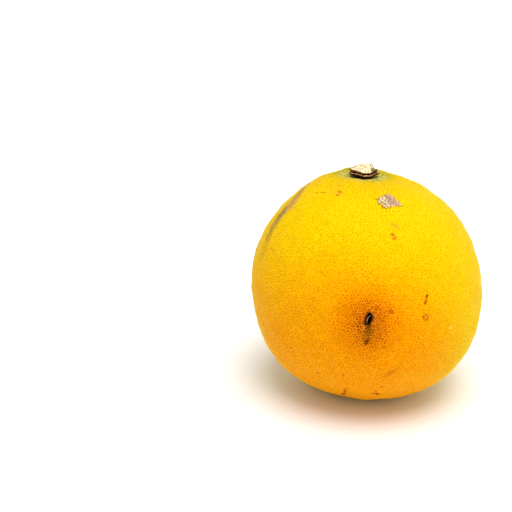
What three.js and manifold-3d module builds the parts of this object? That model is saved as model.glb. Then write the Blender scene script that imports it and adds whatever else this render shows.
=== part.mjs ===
// A ripe bergamot orange, picked with its calyx and a short cut stem still on, standing on its base.
// Millimetres, +Z up. The origin is on the resting plane, under the middle of the fruit.
// The front, where the old puncture wound is, faces -Y.
import * as THREE from "three";
import { mergeVertices } from "three/addons/utils/BufferGeometryUtils.js";
import Module from "manifold-3d";

const wasm = await Module();
wasm.setup();

const { cos, exp, max, PI, sin, sqrt, tan } = Math;
const radians = THREE.MathUtils.degToRad;

// The fruit's body
const MEAN_RADIUS = 35.5;
const CORE = new THREE.Vector3(0.45, -0.15, 35.9); // the middle that every radius is measured from
const LEAN_BACK = 4.5; // degrees that the stem end leans away from the front
const LEAN_LEFT = 4; // degrees that it leans to -X
const STEM = new THREE.Vector3(-tan(radians(LEAN_LEFT)), tan(radians(LEAN_BACK)), 1).normalize();
const STYLE = STEM.clone().negate();
const STEM_TURN = new THREE.Quaternion().setFromUnitVectors(new THREE.Vector3(0, 0, 1), STEM);
const UPRIGHT = STEM_TURN.clone().invert(); // turns the leaning stem end upright
const BODY_CELLS = 27; // squares along each edge of the cube that the skin is blown up from

// Each swelling lifts the skin by its height, in a bell that fades over its spread in degrees.
// A hollow is a swelling of negative height.
const SWELLINGS = [
  { name: "belly", toward: [0.1, -1, -0.35], spread: 40, height: 1.4 },
  { name: "back", toward: [-0.15, 1, -0.2], spread: 42, height: 1.2 },
  { name: "right heel", toward: [0.74, -0.25, -0.62], spread: 34, height: 2.7 },
  { name: "left heel", toward: [-0.72, -0.2, -0.66], spread: 30, height: 2.5 },
  { name: "back heel", toward: [0.1, 0.75, -0.65], spread: 32, height: 1.0 },
  { name: "left cheek", toward: [-0.93, -0.1, 0.25], spread: 28, height: 1.7 },
  { name: "left shoulder", toward: [-0.42, -0.1, 0.88], spread: 28.5, height: 2.5 },
  { name: "back shoulder", toward: [0.35, 0.75, 0.55], spread: 30, height: 0.9 },
  { name: "far shoulder", toward: [-0.2, 0.55, 0.9], spread: 18.5, height: 1.9 },
  { name: "stem dish", toward: STEM.toArray(), spread: 24, height: -0.5 },
  { name: "base", toward: STYLE.toArray(), spread: 32, height: 0.6 },
  { name: "stem hollow", toward: STEM.toArray(), spread: 9.5, height: -1.5 },
  { name: "style hollow", toward: STYLE.toArray(), spread: 5.5, height: -0.9 },
].map((swelling) => ({ ...swelling, toward: new THREE.Vector3(...swelling.toward).normalize() }));

// Shallow furrows run down from the stem end, and the whole rind is slightly uneven
const FURROWS = { count: 8, from: 21, spread: 12, depth: 0.22 };
const UNEVEN = { height: 0.2, waves: [17, 15, 19], shifts: [1.3, 0.4, 2.1] };

// The puncture wound on the front: a small oval pit, its long way nearly upright
const WOUND = { longitude: 1.3, latitude: 7, halfWidth: 1.0, halfHeight: 1.75, depth: 1.1, turn: -14 };

// The calyx: a dried five-lobed disc, its rim curled off the rind
const CALYX = { radius: 3.75, lobe: 0.85, lobes: 5, curl: 0.8, middle: 1.0, rim: 0.55, rings: 7, rays: 60 };

// The stem stub: a woody foot spread over the calyx, and a short cut peg, a mound that leans to its right
const STUB = { footRadius: 4.2, footThickness: 0.62, rays: 48 };
const PEG = { radius: 1.9, height: 1.75, offset: 0.75 };
const SEAT_GAP = 0.3; // what is left between two pieces that sit on each other

const bell = (x) => exp(-x * x);

// How far the skin is from the core along a unit direction.
function skinRadius(direction) {
  let radius = MEAN_RADIUS;
  for (const { toward, spread, height } of SWELLINGS) {
    radius += height * bell(direction.angleTo(toward) / radians(spread));
  }
  const fromStem = THREE.MathUtils.radToDeg(direction.angleTo(STEM));
  const turned = direction.clone().applyQuaternion(UPRIGHT);
  const around = Math.atan2(turned.y, turned.x);
  radius -= FURROWS.depth * cos(FURROWS.count * around) * bell((fromStem - FURROWS.from) / FURROWS.spread);
  const [a, b, c] = direction.toArray().map((v, i) => sin(UNEVEN.waves[i] * v + UNEVEN.shifts[i]));
  return radius + UNEVEN.height * a * b * c;
}

// The unit direction at a longitude (0 is the front, +90 is +X) and a latitude, in degrees.
function directionAt(longitude, latitude) {
  const [lon, lat] = [radians(longitude), radians(latitude)];
  return new THREE.Vector3(sin(lon) * cos(lat), -cos(lon) * cos(lat), sin(lat));
}

const skinPoint = (direction) => direction.clone().multiplyScalar(skinRadius(direction)).add(CORE);

// A closed mesh as a solid that can be cut.
function solidOf(geometry) {
  const bare = geometry.clone();
  bare.deleteAttribute("normal");
  bare.deleteAttribute("uv");
  const merged = mergeVertices(bare, 1e-4);
  return new wasm.Manifold(
    new wasm.Mesh({
      numProp: 3,
      vertProperties: merged.attributes.position.array,
      triVerts: new Uint32Array(merged.index.array),
    }),
  );
}

function geometryOf(solid) {
  const mesh = solid.getMesh();
  const geometry = new THREE.BufferGeometry();
  geometry.setAttribute("position", new THREE.BufferAttribute(mesh.vertProperties, 3));
  geometry.setIndex(new THREE.BufferAttribute(mesh.triVerts, 1));
  geometry.computeVertexNormals();
  return geometry;
}

// The body is a cube blown up onto the skin. What would reach under the resting plane is pressed flat on it.
function bodyGeometry() {
  const cube = new THREE.BoxGeometry(2, 2, 2, BODY_CELLS, BODY_CELLS, BODY_CELLS);
  const corners = cube.attributes.position;
  const corner = new THREE.Vector3();
  for (let i = 0; i < corners.count; i += 1) {
    corner.fromBufferAttribute(corners, i);
    const direction = new THREE.Vector3(...corner.toArray().map((v) => tan((v * PI) / 4))).normalize();
    const point = skinPoint(direction);
    corners.setXYZ(i, point.x, point.y, max(point.z, 0));
  }
  return cube;
}

// The tool that leaves the wound's pit: an egg shape sunk into the skin.
function woundGeometry() {
  const outward = directionAt(WOUND.longitude, WOUND.latitude);
  const egg = new THREE.SphereGeometry(1, 16, 10);
  egg.scale(WOUND.halfWidth, WOUND.halfHeight, WOUND.depth);
  egg.rotateZ(radians(WOUND.turn));
  const standing = new THREE.Matrix4().lookAt(outward, new THREE.Vector3(), new THREE.Vector3(0, 0, 1));
  egg.applyMatrix4(standing);
  const place = skinPoint(outward);
  egg.translate(place.x, place.y, place.z);
  return egg;
}

// The stem end's own frame: its origin at the core, its +Z along the stem
const stemEnd = new THREE.Group();
stemEnd.position.copy(CORE);
stemEnd.quaternion.copy(STEM_TURN);

// The skin's height over the core, in the stem end's frame, at a point beside the stem's axis.
function rindHeight(x, y) {
  let height = MEAN_RADIUS;
  for (let step = 0; step < 4; step += 1) {
    const direction = new THREE.Vector3(x, y, height).normalize().applyQuaternion(STEM_TURN);
    height = sqrt(skinRadius(direction) ** 2 - x * x - y * y);
  }
  return height;
}

// A closed body round an upright axis. ringPoint(ring, angle) gives each point, and the first and last rings
// are single points on the axis, so that the rings run from the underside out and over the top.
function roundBody(rings, rays, ringPoint) {
  const points = [];
  const faces = [];
  const index = (ring, ray) => {
    if (ring === 0) return 0;
    const ringStart = 1 + (ring - 1) * rays;
    return ring === rings ? ringStart : ringStart + (ray % rays);
  };
  for (let ring = 0; ring <= rings; ring += 1) {
    const raysHere = ring === 0 || ring === rings ? 1 : rays;
    for (let ray = 0; ray < raysHere; ray += 1) points.push(...ringPoint(ring, (2 * PI * ray) / rays));
  }
  for (let ring = 0; ring < rings; ring += 1) {
    for (let ray = 0; ray < rays; ray += 1) {
      const [a, b] = [index(ring, ray), index(ring, ray + 1)];
      const [c, d] = [index(ring + 1, ray), index(ring + 1, ray + 1)];
      if (a !== b) faces.push(a, b, d);
      if (c !== d) faces.push(a, d, c);
    }
  }
  const geometry = new THREE.BufferGeometry();
  geometry.setAttribute("position", new THREE.Float32BufferAttribute(points, 3));
  geometry.setIndex(faces);
  geometry.computeVertexNormals();
  return geometry;
}

// The calyx's outline: five blunt lobes, none quite like the next.
function calyxRadius(angle) {
  const lobe = Math.abs(cos((CALYX.lobes * angle) / 2)) ** 0.8;
  return CALYX.radius + CALYX.lobe * lobe * (1 + 0.25 * sin(2 * angle + 0.6)) + 0.12 * sin(7 * angle + 2);
}

// How high the calyx's underside and top are at a share of the way out to its rim.
function calyxSurface(share, angle, top) {
  const reach = share * calyxRadius(angle);
  const [x, y] = [reach * cos(angle), reach * sin(angle)];
  const curl = CALYX.curl * share ** 3 * (0.75 + 0.25 * cos(3 * angle + 1));
  const underside = rindHeight(x, y) + SEAT_GAP + curl;
  const thickness = CALYX.middle + (CALYX.rim - CALYX.middle) * share ** 2;
  return [x, y, underside + (top ? thickness : 0)];
}

// The disc runs out along its underside, and back over its top.
function calyxGeometry() {
  const half = CALYX.rings;
  const last = 2 * half + 1;
  return roundBody(last, CALYX.rays, (ring, angle) => {
    const top = ring > half;
    return calyxSurface((top ? last - ring : ring) / half, angle, top);
  });
}

// The foot's ragged outline.
function footRadius(angle) {
  const ragged = 0.07 * sin(3 * angle + 3.6) + 0.035 * sin(5 * angle + 2.2) + 0.02 * sin(11 * angle);
  return STUB.footRadius * (1 + ragged);
}

// The calyx's top under the foot, at a distance from the axis.
function calyxTop(reach, angle) {
  return calyxSurface(reach / calyxRadius(angle), angle, true)[2];
}

// The stub's outline, from the middle of the foot's underside out, up the peg and over its torn end.
function stubGeometry() {
  const crest = calyxTop(0, 0) + SEAT_GAP + STUB.footThickness;
  const torn = (angle) => 0.22 * sin(3 * angle + 0.8) + 0.16 * sin(7 * angle) + 0.1 * sin(11 * angle + 1);
  const foot = (share, lift) => (angle) => {
    const reach = share * footRadius(angle);
    return [reach * cos(angle), reach * sin(angle), calyxTop(reach, angle) + SEAT_GAP + lift];
  };
  const peg = (radius, height, offset) => (angle) => {
    const reach = radius * (1 + 0.06 * sin(2 * angle + 1) + 0.05 * sin(5 * angle));
    return [offset + reach * cos(angle), reach * sin(angle), crest + height];
  };
  const tornPeg = (radius, height, roughness) => (angle) => {
    const [x, y, z] = peg(radius, height, PEG.offset)(angle);
    return [x, y, z + roughness * torn(angle)];
  };
  const thick = STUB.footThickness;
  const { radius, height, offset } = PEG;
  const profile = [
    foot(0, 0),
    foot(0.5, 0),
    foot(0.85, 0.1),
    foot(1, 0.4),
    foot(0.99, thick + 0.15),
    foot(0.86, thick + 0.12),
    peg(radius + 1.2, 0.25, 0.3 * offset),
    peg(radius + 0.5, 0.55 * height, 0.7 * offset),
    tornPeg(radius, 0.88 * height, 0.7),
    tornPeg(radius - 0.4, height, 1),
    tornPeg(0.45 * radius, 0.92 * height, -0.8),
    peg(0, 0.85 * height, offset),
  ];
  return roundBody(profile.length - 1, STUB.rays, (ring, angle) => profile[ring](angle));
}

const finish = (color, roughness) => new THREE.MeshStandardMaterial({ color, roughness, metalness: 0 });

function named(name, geometry, material) {
  const mesh = new THREE.Mesh(geometry, material);
  mesh.name = name;
  return mesh;
}

const bergamot = new THREE.Group();
const pitted = geometryOf(solidOf(bodyGeometry()).subtract(solidOf(woundGeometry())));
bergamot.add(named("fruit", pitted, finish(0xfac010, 0.42)));
stemEnd.add(named("calyx", calyxGeometry(), finish(0x5a3a1c, 0.85)));
stemEnd.add(named("stem_stub", stubGeometry(), finish(0xe9dcae, 0.9)));
bergamot.add(stemEnd);

export default bergamot;
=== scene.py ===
# %% [markdown]
# # A bergamot orange
#
# This lesson dresses one ripe bergamot: a yellow citrus fruit about as wide as a fist, with a dried calyx
# and a short cut stem on top. The solid model already has its form. What is missing is the skin: thousands
# of oil glands, each a tiny dent with a darker drop of oil under it, and the scars that a summer on the
# tree leaves.
#
# Lengths are in millimetres while shapes are worked out, and become metres when they are put in a mesh.

# %% Load the frame and keep its box
import itertools
import math

import bpy
import numpy as np
from mathutils import Matrix, Vector


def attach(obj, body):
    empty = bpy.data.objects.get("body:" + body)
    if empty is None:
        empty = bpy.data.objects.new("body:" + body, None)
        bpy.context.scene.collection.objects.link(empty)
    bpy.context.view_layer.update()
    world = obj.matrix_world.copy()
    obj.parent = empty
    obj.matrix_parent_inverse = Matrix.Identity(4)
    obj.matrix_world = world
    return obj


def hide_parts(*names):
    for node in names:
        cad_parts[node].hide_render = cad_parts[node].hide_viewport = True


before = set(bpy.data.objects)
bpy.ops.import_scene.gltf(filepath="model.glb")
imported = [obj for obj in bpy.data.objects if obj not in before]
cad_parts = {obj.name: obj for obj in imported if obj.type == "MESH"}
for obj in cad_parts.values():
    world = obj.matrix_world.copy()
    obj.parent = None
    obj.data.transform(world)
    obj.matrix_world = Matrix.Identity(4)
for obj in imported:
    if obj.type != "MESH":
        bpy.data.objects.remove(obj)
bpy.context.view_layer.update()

MM = 0.001
draw = np.random.default_rng(7)

# %% [markdown]
# ## The camera
#
# The fruit is seen from a little above, as someone who stands at a table sees it. The camera looks past the
# fruit's left side, so that the fruit stands right of the middle of the picture. A long lens keeps the
# outline round; a short one would swell the belly.

# %% Camera
CORE = np.array([0.45, -0.15, 35.9])
PICTURE_WIDTH = 512
FOCAL_LENGTH_IN_PIXELS = 1100
CAMERA_DISTANCE = 355.8
CAMERA_HEIGHT_ANGLE = 23.4
LOOK_LEFT = 6.29
LOOK_DOWN = 22.094

camera_data = bpy.data.cameras.new("camera")
camera_data.lens = FOCAL_LENGTH_IN_PIXELS / PICTURE_WIDTH * camera_data.sensor_width
camera_data.clip_start = 0.01
camera = bpy.data.objects.new("camera", camera_data)
bpy.context.scene.collection.objects.link(camera)
bpy.context.scene.camera = camera

height_angle = math.radians(CAMERA_HEIGHT_ANGLE)
back_from_fruit = np.array([0, -math.cos(height_angle), math.sin(height_angle)])
camera.location = (CORE + CAMERA_DISTANCE * back_from_fruit) * MM
camera.rotation_euler = (math.radians(90 - LOOK_DOWN), 0, math.radians(LOOK_LEFT))
print("camera stands at", [round(x, 4) for x in camera.location])

# %% [markdown]
# ## The form of the fruit
#
# A bergamot isn't a ball. It has broad shoulders, a heavier right heel and a slightly flat base. A polar
# formula says it best: how far the skin is from the core in each direction. It starts from a mean radius
# and adds a few soft swellings. This way the same formula places the skin, the calyx and each scar, so
# nothing has to be fitted by hand.

# %% The skin's polar formula
MEAN_RADIUS = 35.5
LEAN_BACK = 4.5
LEAN_LEFT = 4


def unit(vectors):
    """Each vector divided by its own length."""
    vectors = np.asarray(vectors, float)
    return vectors / np.linalg.norm(vectors, axis=-1, keepdims=True)


def bell(x):
    """1 in the middle, falling to nothing: e to the power of minus x squared."""
    return np.exp(-np.square(x))


STEM = unit([-math.tan(math.radians(LEAN_LEFT)), math.tan(math.radians(LEAN_BACK)), 1])
STEM_TURN = np.array(Vector((0, 0, 1)).rotation_difference(Vector(STEM)).to_matrix())

SWELLINGS = [  # what swells, toward where, spread in degrees, height
    ("belly", (0.1, -1, -0.35), 40, 1.4),
    ("back", (-0.15, 1, -0.2), 42, 1.2),
    ("right heel", (0.74, -0.25, -0.62), 34, 2.7),
    ("left heel", (-0.72, -0.2, -0.66), 30, 2.5),
    ("back heel", (0.1, 0.75, -0.65), 32, 1.0),
    ("left cheek", (-0.93, -0.1, 0.25), 28, 1.7),
    ("left shoulder", (-0.42, -0.1, 0.88), 28.5, 2.5),
    ("back shoulder", (0.35, 0.75, 0.55), 30, 0.9),
    ("far shoulder", (-0.2, 0.55, 0.9), 18.5, 1.9),
    ("stem dish", STEM, 24, -0.5),
    ("base", -STEM, 32, 0.6),
    ("stem hollow", STEM, 9.5, -1.5),
    ("style hollow", -STEM, 5.5, -0.9),
]
FURROW_COUNT, FURROW_FROM, FURROW_SPREAD, FURROW_DEPTH = 8, 21, 12, 0.22
UNEVEN_HEIGHT = 0.2
UNEVEN_WAVES = np.array([17, 15, 19])
UNEVEN_SHIFTS = np.array([1.3, 0.4, 2.1])


def degrees_between(directions, toward):
    """The angle between unit directions and one more direction: the arc cosine of their dot product."""
    return np.degrees(np.arccos(np.clip(directions @ unit(toward), -1, 1)))


def skin_radius(directions):
    """Mean radius, plus each swelling's height times a bell of the angle to its middle, minus furrows that
    are a cosine round the stem, plus a product of three sines."""
    radius = np.full(directions.shape[:-1], MEAN_RADIUS)
    for _, toward, spread, height in SWELLINGS:
        radius = radius + height * bell(degrees_between(directions, toward) / spread)
    upright = directions @ STEM_TURN
    around = np.arctan2(upright[..., 1], upright[..., 0])
    fade = bell((degrees_between(directions, STEM) - FURROW_FROM) / FURROW_SPREAD)
    radius = radius - FURROW_DEPTH * np.cos(FURROW_COUNT * around) * fade
    return radius + UNEVEN_HEIGHT * np.prod(np.sin(UNEVEN_WAVES * directions + UNEVEN_SHIFTS), axis=-1)


def heading(longitude, latitude):
    """A unit direction from degrees: longitude 0 is the front and 90 the right side, latitude 90 is up."""
    lon, lat = math.radians(longitude), math.radians(latitude)
    return np.array([math.sin(lon) * math.cos(lat), -math.cos(lon) * math.cos(lat), math.sin(lat)])


def tangent_frame(direction, turn):
    """Three unit axes at a place on the skin: along, across and outward. Along points up the fruit for
    turn 0, and turn swings it clockwise, in degrees, as seen from outside."""
    east = unit(np.cross((0, 0, 1), direction))
    north = np.cross(direction, east)
    swing = math.radians(turn)
    along = math.cos(swing) * north + math.sin(swing) * east
    return along, np.cross(direction, along), direction


front_right_top = np.array([[0, -1, 0], [1, 0, 0], [0, 0, 1.0]])
print("radius toward the front, right and top:", skin_radius(front_right_top).round(2))

# %% [markdown]
# ## Twenty-five thousand glands
#
# Oil glands sit in the rind about 0.85 mm apart, almost evenly but never in rows. A grid of squares would
# show its rows and bunch up at two poles. So the glands start from an icosahedron's twenty faces, each
# divided into many small triangles and blown up to a ball.

# %% A ball of even triangles
GLAND_DIVISIONS = 50


def icosahedron():
    """Twelve corners, from golden rectangles, and the twenty triples of neighbouring corners."""
    golden = (1 + math.sqrt(5)) / 2
    rectangle = [(0, a, b * golden) for a in (-1, 1) for b in (-1, 1)]
    corners = np.array([np.roll(corner, turn) for turn in range(3) for corner in rectangle])
    near = np.isclose(np.linalg.norm(corners[:, None] - corners, axis=-1), 2)
    triples = itertools.combinations(range(12), 3)
    sides = np.array([(a, b, c) for a, b, c in triples if near[a, b] and near[b, c] and near[a, c]])
    inward = np.linalg.det(corners[sides]) < 0
    sides[inward] = sides[inward][:, ::-1]
    return unit(corners), sides


def divided_ball(divisions):
    """Points and triangles of a ball. A point of a face is the sum of the face's corners, each times the
    sine of its share of the face's angle, brought back to length 1."""
    corners, sides = icosahedron()
    face_angle = math.acos(1 / math.sqrt(5))
    i, j = np.meshgrid(np.arange(divisions + 1), np.arange(divisions + 1), indexing="ij")
    inside = i + j <= divisions
    number = np.cumsum(inside.ravel()).reshape(inside.shape) - 1
    shares = np.stack([divisions - i - j, i, j], -1)[inside] / divisions
    points = unit(np.einsum("pk,fkx->fpx", np.sin(shares * face_angle), corners[sides]))
    upward = (i + j < divisions)
    downward = (i + j < divisions - 1)
    a, b = i[upward], j[upward]
    c, d = i[downward], j[downward]
    up_faces = np.stack([number[a, b], number[a + 1, b], number[a, b + 1]], -1)
    down_faces = np.stack([number[c + 1, d], number[c + 1, d + 1], number[c, d + 1]], -1)
    one_side = np.concatenate([up_faces, down_faces])
    faces = (one_side + np.arange(20)[:, None, None] * len(shares)).reshape(-1, 3)
    merged, same = np.unique(points.reshape(-1, 3).round(6), axis=0, return_inverse=True)
    return unit(merged), same.reshape(-1)[faces]


seeds, triangles = divided_ball(GLAND_DIVISIONS)
print(len(seeds), "seeds on a ball and", len(triangles), "triangles between them")

# %% [markdown]
# ## From a seed to a gland
#
# Real glands are less even than that ball. So each is nudged by the same length in a random direction,
# which keeps any two from meeting, and a slow drift crowds some and spreads others.
#
# The mesh follows the glands. Each gland gets a fan of six triangles from its bottom to the ridge round it,
# and the ridge points are the middles of the small triangles. So each dent is real geometry, with the
# fewest triangles that can show it.

# %% Place the glands
GLAND_NUDGE = 0.31
GLAND_DRIFT, DRIFT_WAVELENGTH = 0.33, 8
GLAND_SIZES = (0.5, 1)


def ripples(points, wavelength, waves=40):
    """A random field of about unit size: the sum of sine waves of one length in random directions."""
    ways = unit(draw.normal(size=(waves, 3))) * (2 * math.pi / wavelength)
    shifts = draw.uniform(0, 2 * math.pi, waves)
    return np.sin(points @ ways.T + shifts).sum(axis=1) * math.sqrt(2 / waves)


def gland_fans(seeds, triangles):
    """Six triangles round each seed. For each side of a triangle they join the side's first seed to the
    middle of the triangle beyond the side, and to the middle of its own triangle."""
    middles = unit(seeds[triangles].sum(axis=1))
    starts, ends = triangles.ravel(), np.roll(triangles, -1, axis=1).ravel()
    own = np.repeat(np.arange(len(triangles)), 3)
    side_code = np.minimum(starts, ends) * len(seeds) + np.maximum(starts, ends)
    pairs = np.argsort(side_code, kind="stable").reshape(-1, 2)
    beyond = np.empty_like(own)
    beyond[pairs] = own[pairs[:, ::-1]]
    points = np.concatenate([seeds, middles])
    return points, np.stack([starts, len(seeds) + beyond, len(seeds) + own], -1)


gland_spacing = math.sqrt(4 * math.pi / len(seeds) * 2 / math.sqrt(3))
any_way = unit(np.cross(seeds, draw.normal(size=seeds.shape)))
seeds = unit(seeds + GLAND_NUDGE * gland_spacing * any_way)
drift = np.stack([ripples(seeds * MEAN_RADIUS, DRIFT_WAVELENGTH) for _ in range(3)], -1)
seeds = unit(seeds + GLAND_DRIFT / MEAN_RADIUS * drift)
directions, fans = gland_fans(seeds, triangles)
gland = np.zeros(len(directions))
gland[: len(seeds)] = draw.uniform(*GLAND_SIZES, len(seeds))
print(len(seeds), "glands,", round(gland_spacing * MEAN_RADIUS, 2), "mm apart,", len(fans), "triangles")

# %% [markdown]
# ## Finer mesh where the scars are
#
# The puncture wound and the crusty patch have edges far finer than a gland, and so has the rind under the
# calyx. Dividing the whole skin again would cost four times the triangles, so only the faces near these
# places are divided, once or more, and their neighbours are cut so that no gap opens.

# %% Divide the faces near the scars
WOUND = dict(longitude=1.3, latitude=7, half_length=1.9, half_width=1.0, depth=1.15, turn=13)
CRUST = dict(longitude=24.6, latitude=66.2, turn=0)
CRUST_CORNERS = np.array([(1.6, 3.8), (3.3, -0.9), (-1.8, -3.1), (-2.5, 2.2), (-0.8, 3.6)])  # up and left
WOUND_REACHES, CRUST_REACHES, STEM_REACHES = (3.6, 2.9, 2.5), (5.4, 4.8), (8.5,)


def refine(points, values, faces, chosen):
    """Cuts every side of the chosen faces in half. Three cut sides make four faces, two make three and one
    makes two."""
    sides = np.sort(np.stack([faces, np.roll(faces, -1, axis=1)], -1), axis=-1)
    codes = sides[..., 0] * len(points) + sides[..., 1]
    cut_codes = np.unique(codes[chosen])
    first, second = cut_codes // len(points), cut_codes % len(points)
    cut = np.isin(codes, cut_codes)
    middle = len(points) + np.searchsorted(cut_codes, codes)
    made = [faces[cut.sum(axis=1) == 0]]
    for turn in range(3):
        a, b, c = np.roll(faces, -turn, axis=1).T
        ab, bc, ca = np.roll(middle, -turn, axis=1).T
        is_ab, is_bc, is_ca = np.roll(cut, -turn, axis=1).T
        one = is_ab & ~is_bc & ~is_ca
        two = is_ab & is_bc & ~is_ca
        made += [np.stack(f, -1)[one] for f in ((a, ab, c), (ab, b, c))]
        made += [np.stack(f, -1)[two] for f in ((ab, b, bc), (a, ab, bc), (a, bc, c))]
        made.append(np.stack([a, ab, ca], -1)[is_ab & is_bc & is_ca])
    every = cut.all(axis=1)
    made.append(middle[every])
    points = np.concatenate([points, unit(points[first] + points[second])])
    values = np.concatenate([values, (values[first] + values[second]) / 2])
    return points, values, np.concatenate(made)


def near_place(points, faces, toward, reach):
    """Which faces have their middle within reach, in millimetres, of a place on the skin."""
    middles = unit(points[faces].sum(axis=1))
    return np.radians(degrees_between(middles, toward)) * MEAN_RADIUS < reach


wound_toward = heading(WOUND["longitude"], WOUND["latitude"])
crust_toward = heading(CRUST["longitude"], CRUST["latitude"])
divided = ((wound_toward, WOUND_REACHES), (crust_toward, CRUST_REACHES), (STEM, STEM_REACHES))
for toward, reaches in divided:
    for reach in reaches:
        near = near_place(directions, fans, toward, reach)
        directions, gland, fans = refine(directions, gland, fans, near)
print(len(directions), "points,", len(fans), "triangles after the scars")

# %% [markdown]
# ## Relief of the rind
#
# On top of the form come the dents of the glands, the pit of an old puncture with its torn tongue of
# dried skin and its swollen lip, and a raised crust where the skin once split and healed over. Random
# roughness is a sum of plain waves in random directions, which works on all points at once.

# %% Relief of the wound
WOUND_ROUGHNESS, WOUND_ROUGH_WAVE = 0.06, 1.1
LEFT_SHALLOWER = 0.45
CRESCENT_LEFT, CRESCENT_BEND, CRESCENT_WIDTH, CRESCENT_LENGTH, CRESCENT_FILL = 0.28, 0.23, 0.24, 1.6, 0.85
LIP_HEIGHT, LIP_AT, LIP_WIDTH = 0.13, 1.17, 0.16


def place_in_frame(points, scar):
    """Millimetres along a scar, and across it to the left as seen from outside, of points near it. Points
    on the fruit's far side are moved far away."""
    toward = heading(scar["longitude"], scar["latitude"])
    along, across, outward = tangent_frame(toward, scar["turn"])
    offset = points - toward * skin_radius(toward[None])
    far = 1000.0 * (offset @ outward < -MEAN_RADIUS / 2)
    return offset @ along + far, offset @ across + far


def ease(start, end, values):
    """0 at the start, 1 at the end, and a smooth cubic between."""
    t = np.clip((values - start) / (end - start), 0, 1)
    return t * t * (3 - 2 * t)


def wound_relief(points):
    """An oval pit whose depth is a half circle across it. A crescent of dried skin fills most of its depth
    along a parabola left of the middle, and a lip stands round it, a bell of the way from the edge."""
    along, across = place_in_frame(points, WOUND)
    reach = np.hypot(along / WOUND["half_length"], across / WOUND["half_width"])
    reach = reach + WOUND_ROUGHNESS * ripples(points, WOUND_ROUGH_WAVE)
    bowl = np.sqrt(np.clip(1 - reach**2, 0, 1)) * (1 - LEFT_SHALLOWER * ease(0.2, 0.7, across))
    beside_curve = across - CRESCENT_LEFT + CRESCENT_BEND * (along + 0.5) ** 2
    crescent = bell(beside_curve / CRESCENT_WIDTH) * bell((along + 0.1) / CRESCENT_LENGTH)
    lip = LIP_HEIGHT * bell((reach - LIP_AT) / LIP_WIDTH)
    pit = ease(1.12, 0.94, reach)
    parts = {"pit": pit, "crescent": crescent * pit, "torn_left": pit * ease(0.3, 0.6, across)}
    return lip - WOUND["depth"] * bowl * (1 - CRESCENT_FILL * crescent), reach, parts


print("the pit is", 2 * WOUND["half_length"], "mm long and", WOUND["depth"], "mm deep")

# %% [markdown]
# The crust has straight sides, like dried mud that shrank, so it starts from five corners. A point's
# greatest share of the way to any side says how far out it is, and rough waves fray that edge.

# %% Relief of the crust
CRUST_HEIGHT, FLAKE_HEIGHT, CRACK_DEPTH, GRAIN_HEIGHT = 0.1, 0.07, 0.1, 0.03
FRAY = ((0.07, 1.7), (0.045, 0.6))  # size and wavelength
FLAKE_WAVE, CRACK_WAVE, GRAIN_WAVE = 0.8, 1.9, 0.5
CRACK_WIDTH = 0.13


def crust_relief(points):
    """A raised patch inside five straight sides. Flakes stand up on its left and along its edge, and cracks
    run where a wave crosses zero."""
    up, left = place_in_frame(points, CRUST)
    sides = np.roll(CRUST_CORNERS, -1, axis=0) - CRUST_CORNERS
    across_sides = np.stack([-sides[:, 1], sides[:, 0]], -1)
    shares = np.stack([up, left], -1) @ across_sides.T / (CRUST_CORNERS * across_sides).sum(axis=1)
    reach = shares.max(axis=1) + sum(size * ripples(points, wave) for size, wave in FRAY)
    inside = ease(1.05, 0.96, reach)
    loose = np.maximum(ease(0.2, 1.8, left), 0.75 * ease(0.6, 0.9, reach))
    flakes = inside * loose * np.clip(0.3 + ripples(points, FLAKE_WAVE), -0.3, 1.5)
    crack_lines = bell(ripples(points, CRACK_WAVE) / CRACK_WIDTH)
    cracks = inside * crack_lines * ease(-1.6, -0.6, left) * ease(1, 0.8, reach)
    grain = inside * ripples(points, GRAIN_WAVE)
    height = CRUST_HEIGHT * inside + FLAKE_HEIGHT * flakes - CRACK_DEPTH * cracks + GRAIN_HEIGHT * grain
    parts = {"crust": inside, "flake": flakes, "crack": cracks, "crust_rim": bell((reach - 1.04) / 0.1)}
    return height, reach, parts


print("the crust is", np.ptp(CRUST_CORNERS, axis=0).round(1), "mm high and wide")

# %% [markdown]
# The glands fade out where a scar has taken their place. Two sizes of soft waves, too low to see one by
# one, keep the rind from looking turned on a lathe. Where the fruit rests it is cut flat, as its weight
# presses it.

# %% All the relief together
GLAND_DEPTH = 0.15
PEBBLES = ((0.055, 2.4), (0.03, 6))  # height and wavelength

smooth_radius = skin_radius(directions)
skin_points = directions * smooth_radius[:, None]
wound_height, wound_reach, wound_parts = wound_relief(skin_points)
crust_height, crust_reach, crust_parts = crust_relief(skin_points)
gland = gland * ease(1.0, 1.3, wound_reach) * ease(0.95, 1.15, crust_reach)
pebbles = sum(height * ripples(skin_points, wave) for height, wave in PEBBLES)
relief = wound_height + crust_height + pebbles - GLAND_DEPTH * gland
rind_points = CORE + directions * (smooth_radius + relief)[:, None]
rind_points[:, 2] = np.maximum(rind_points[:, 2], 0)
print("relief from", relief.min().round(2), "to", relief.max().round(2), "mm")

# %% [markdown]
# ## From arrays to a mesh
#
# One helper makes each of the three pieces. It takes points and triangles as whole arrays, and keeps values
# such as a gland's depth on the points, so that the material can colour exactly what the relief has shaped.
# It also says which solid the piece stands for.

# %% Put points and faces in a mesh


def make_piece(name, points, faces, node, values=None):
    """A named object from points in millimetres and triangles, smooth, standing for one node. Each of the
    values is kept on the points under its own name, for the material to read."""
    mesh = bpy.data.meshes.new(name)
    mesh.from_pydata((points * MM).tolist(), [], faces.tolist())
    mesh.polygons.foreach_set("use_smooth", np.ones(len(faces), bool))
    for key, value in (values or {}).items():
        mesh.attributes.new(key, "FLOAT", "POINT").data.foreach_set("value", value.astype(np.float32))
    mesh.validate()
    piece = bpy.data.objects.new(name, mesh)
    bpy.context.scene.collection.objects.link(piece)
    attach(piece, "root")
    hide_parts(node)
    print(name, "has", len(points), "points and", len(faces), "triangles")
    return piece


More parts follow.
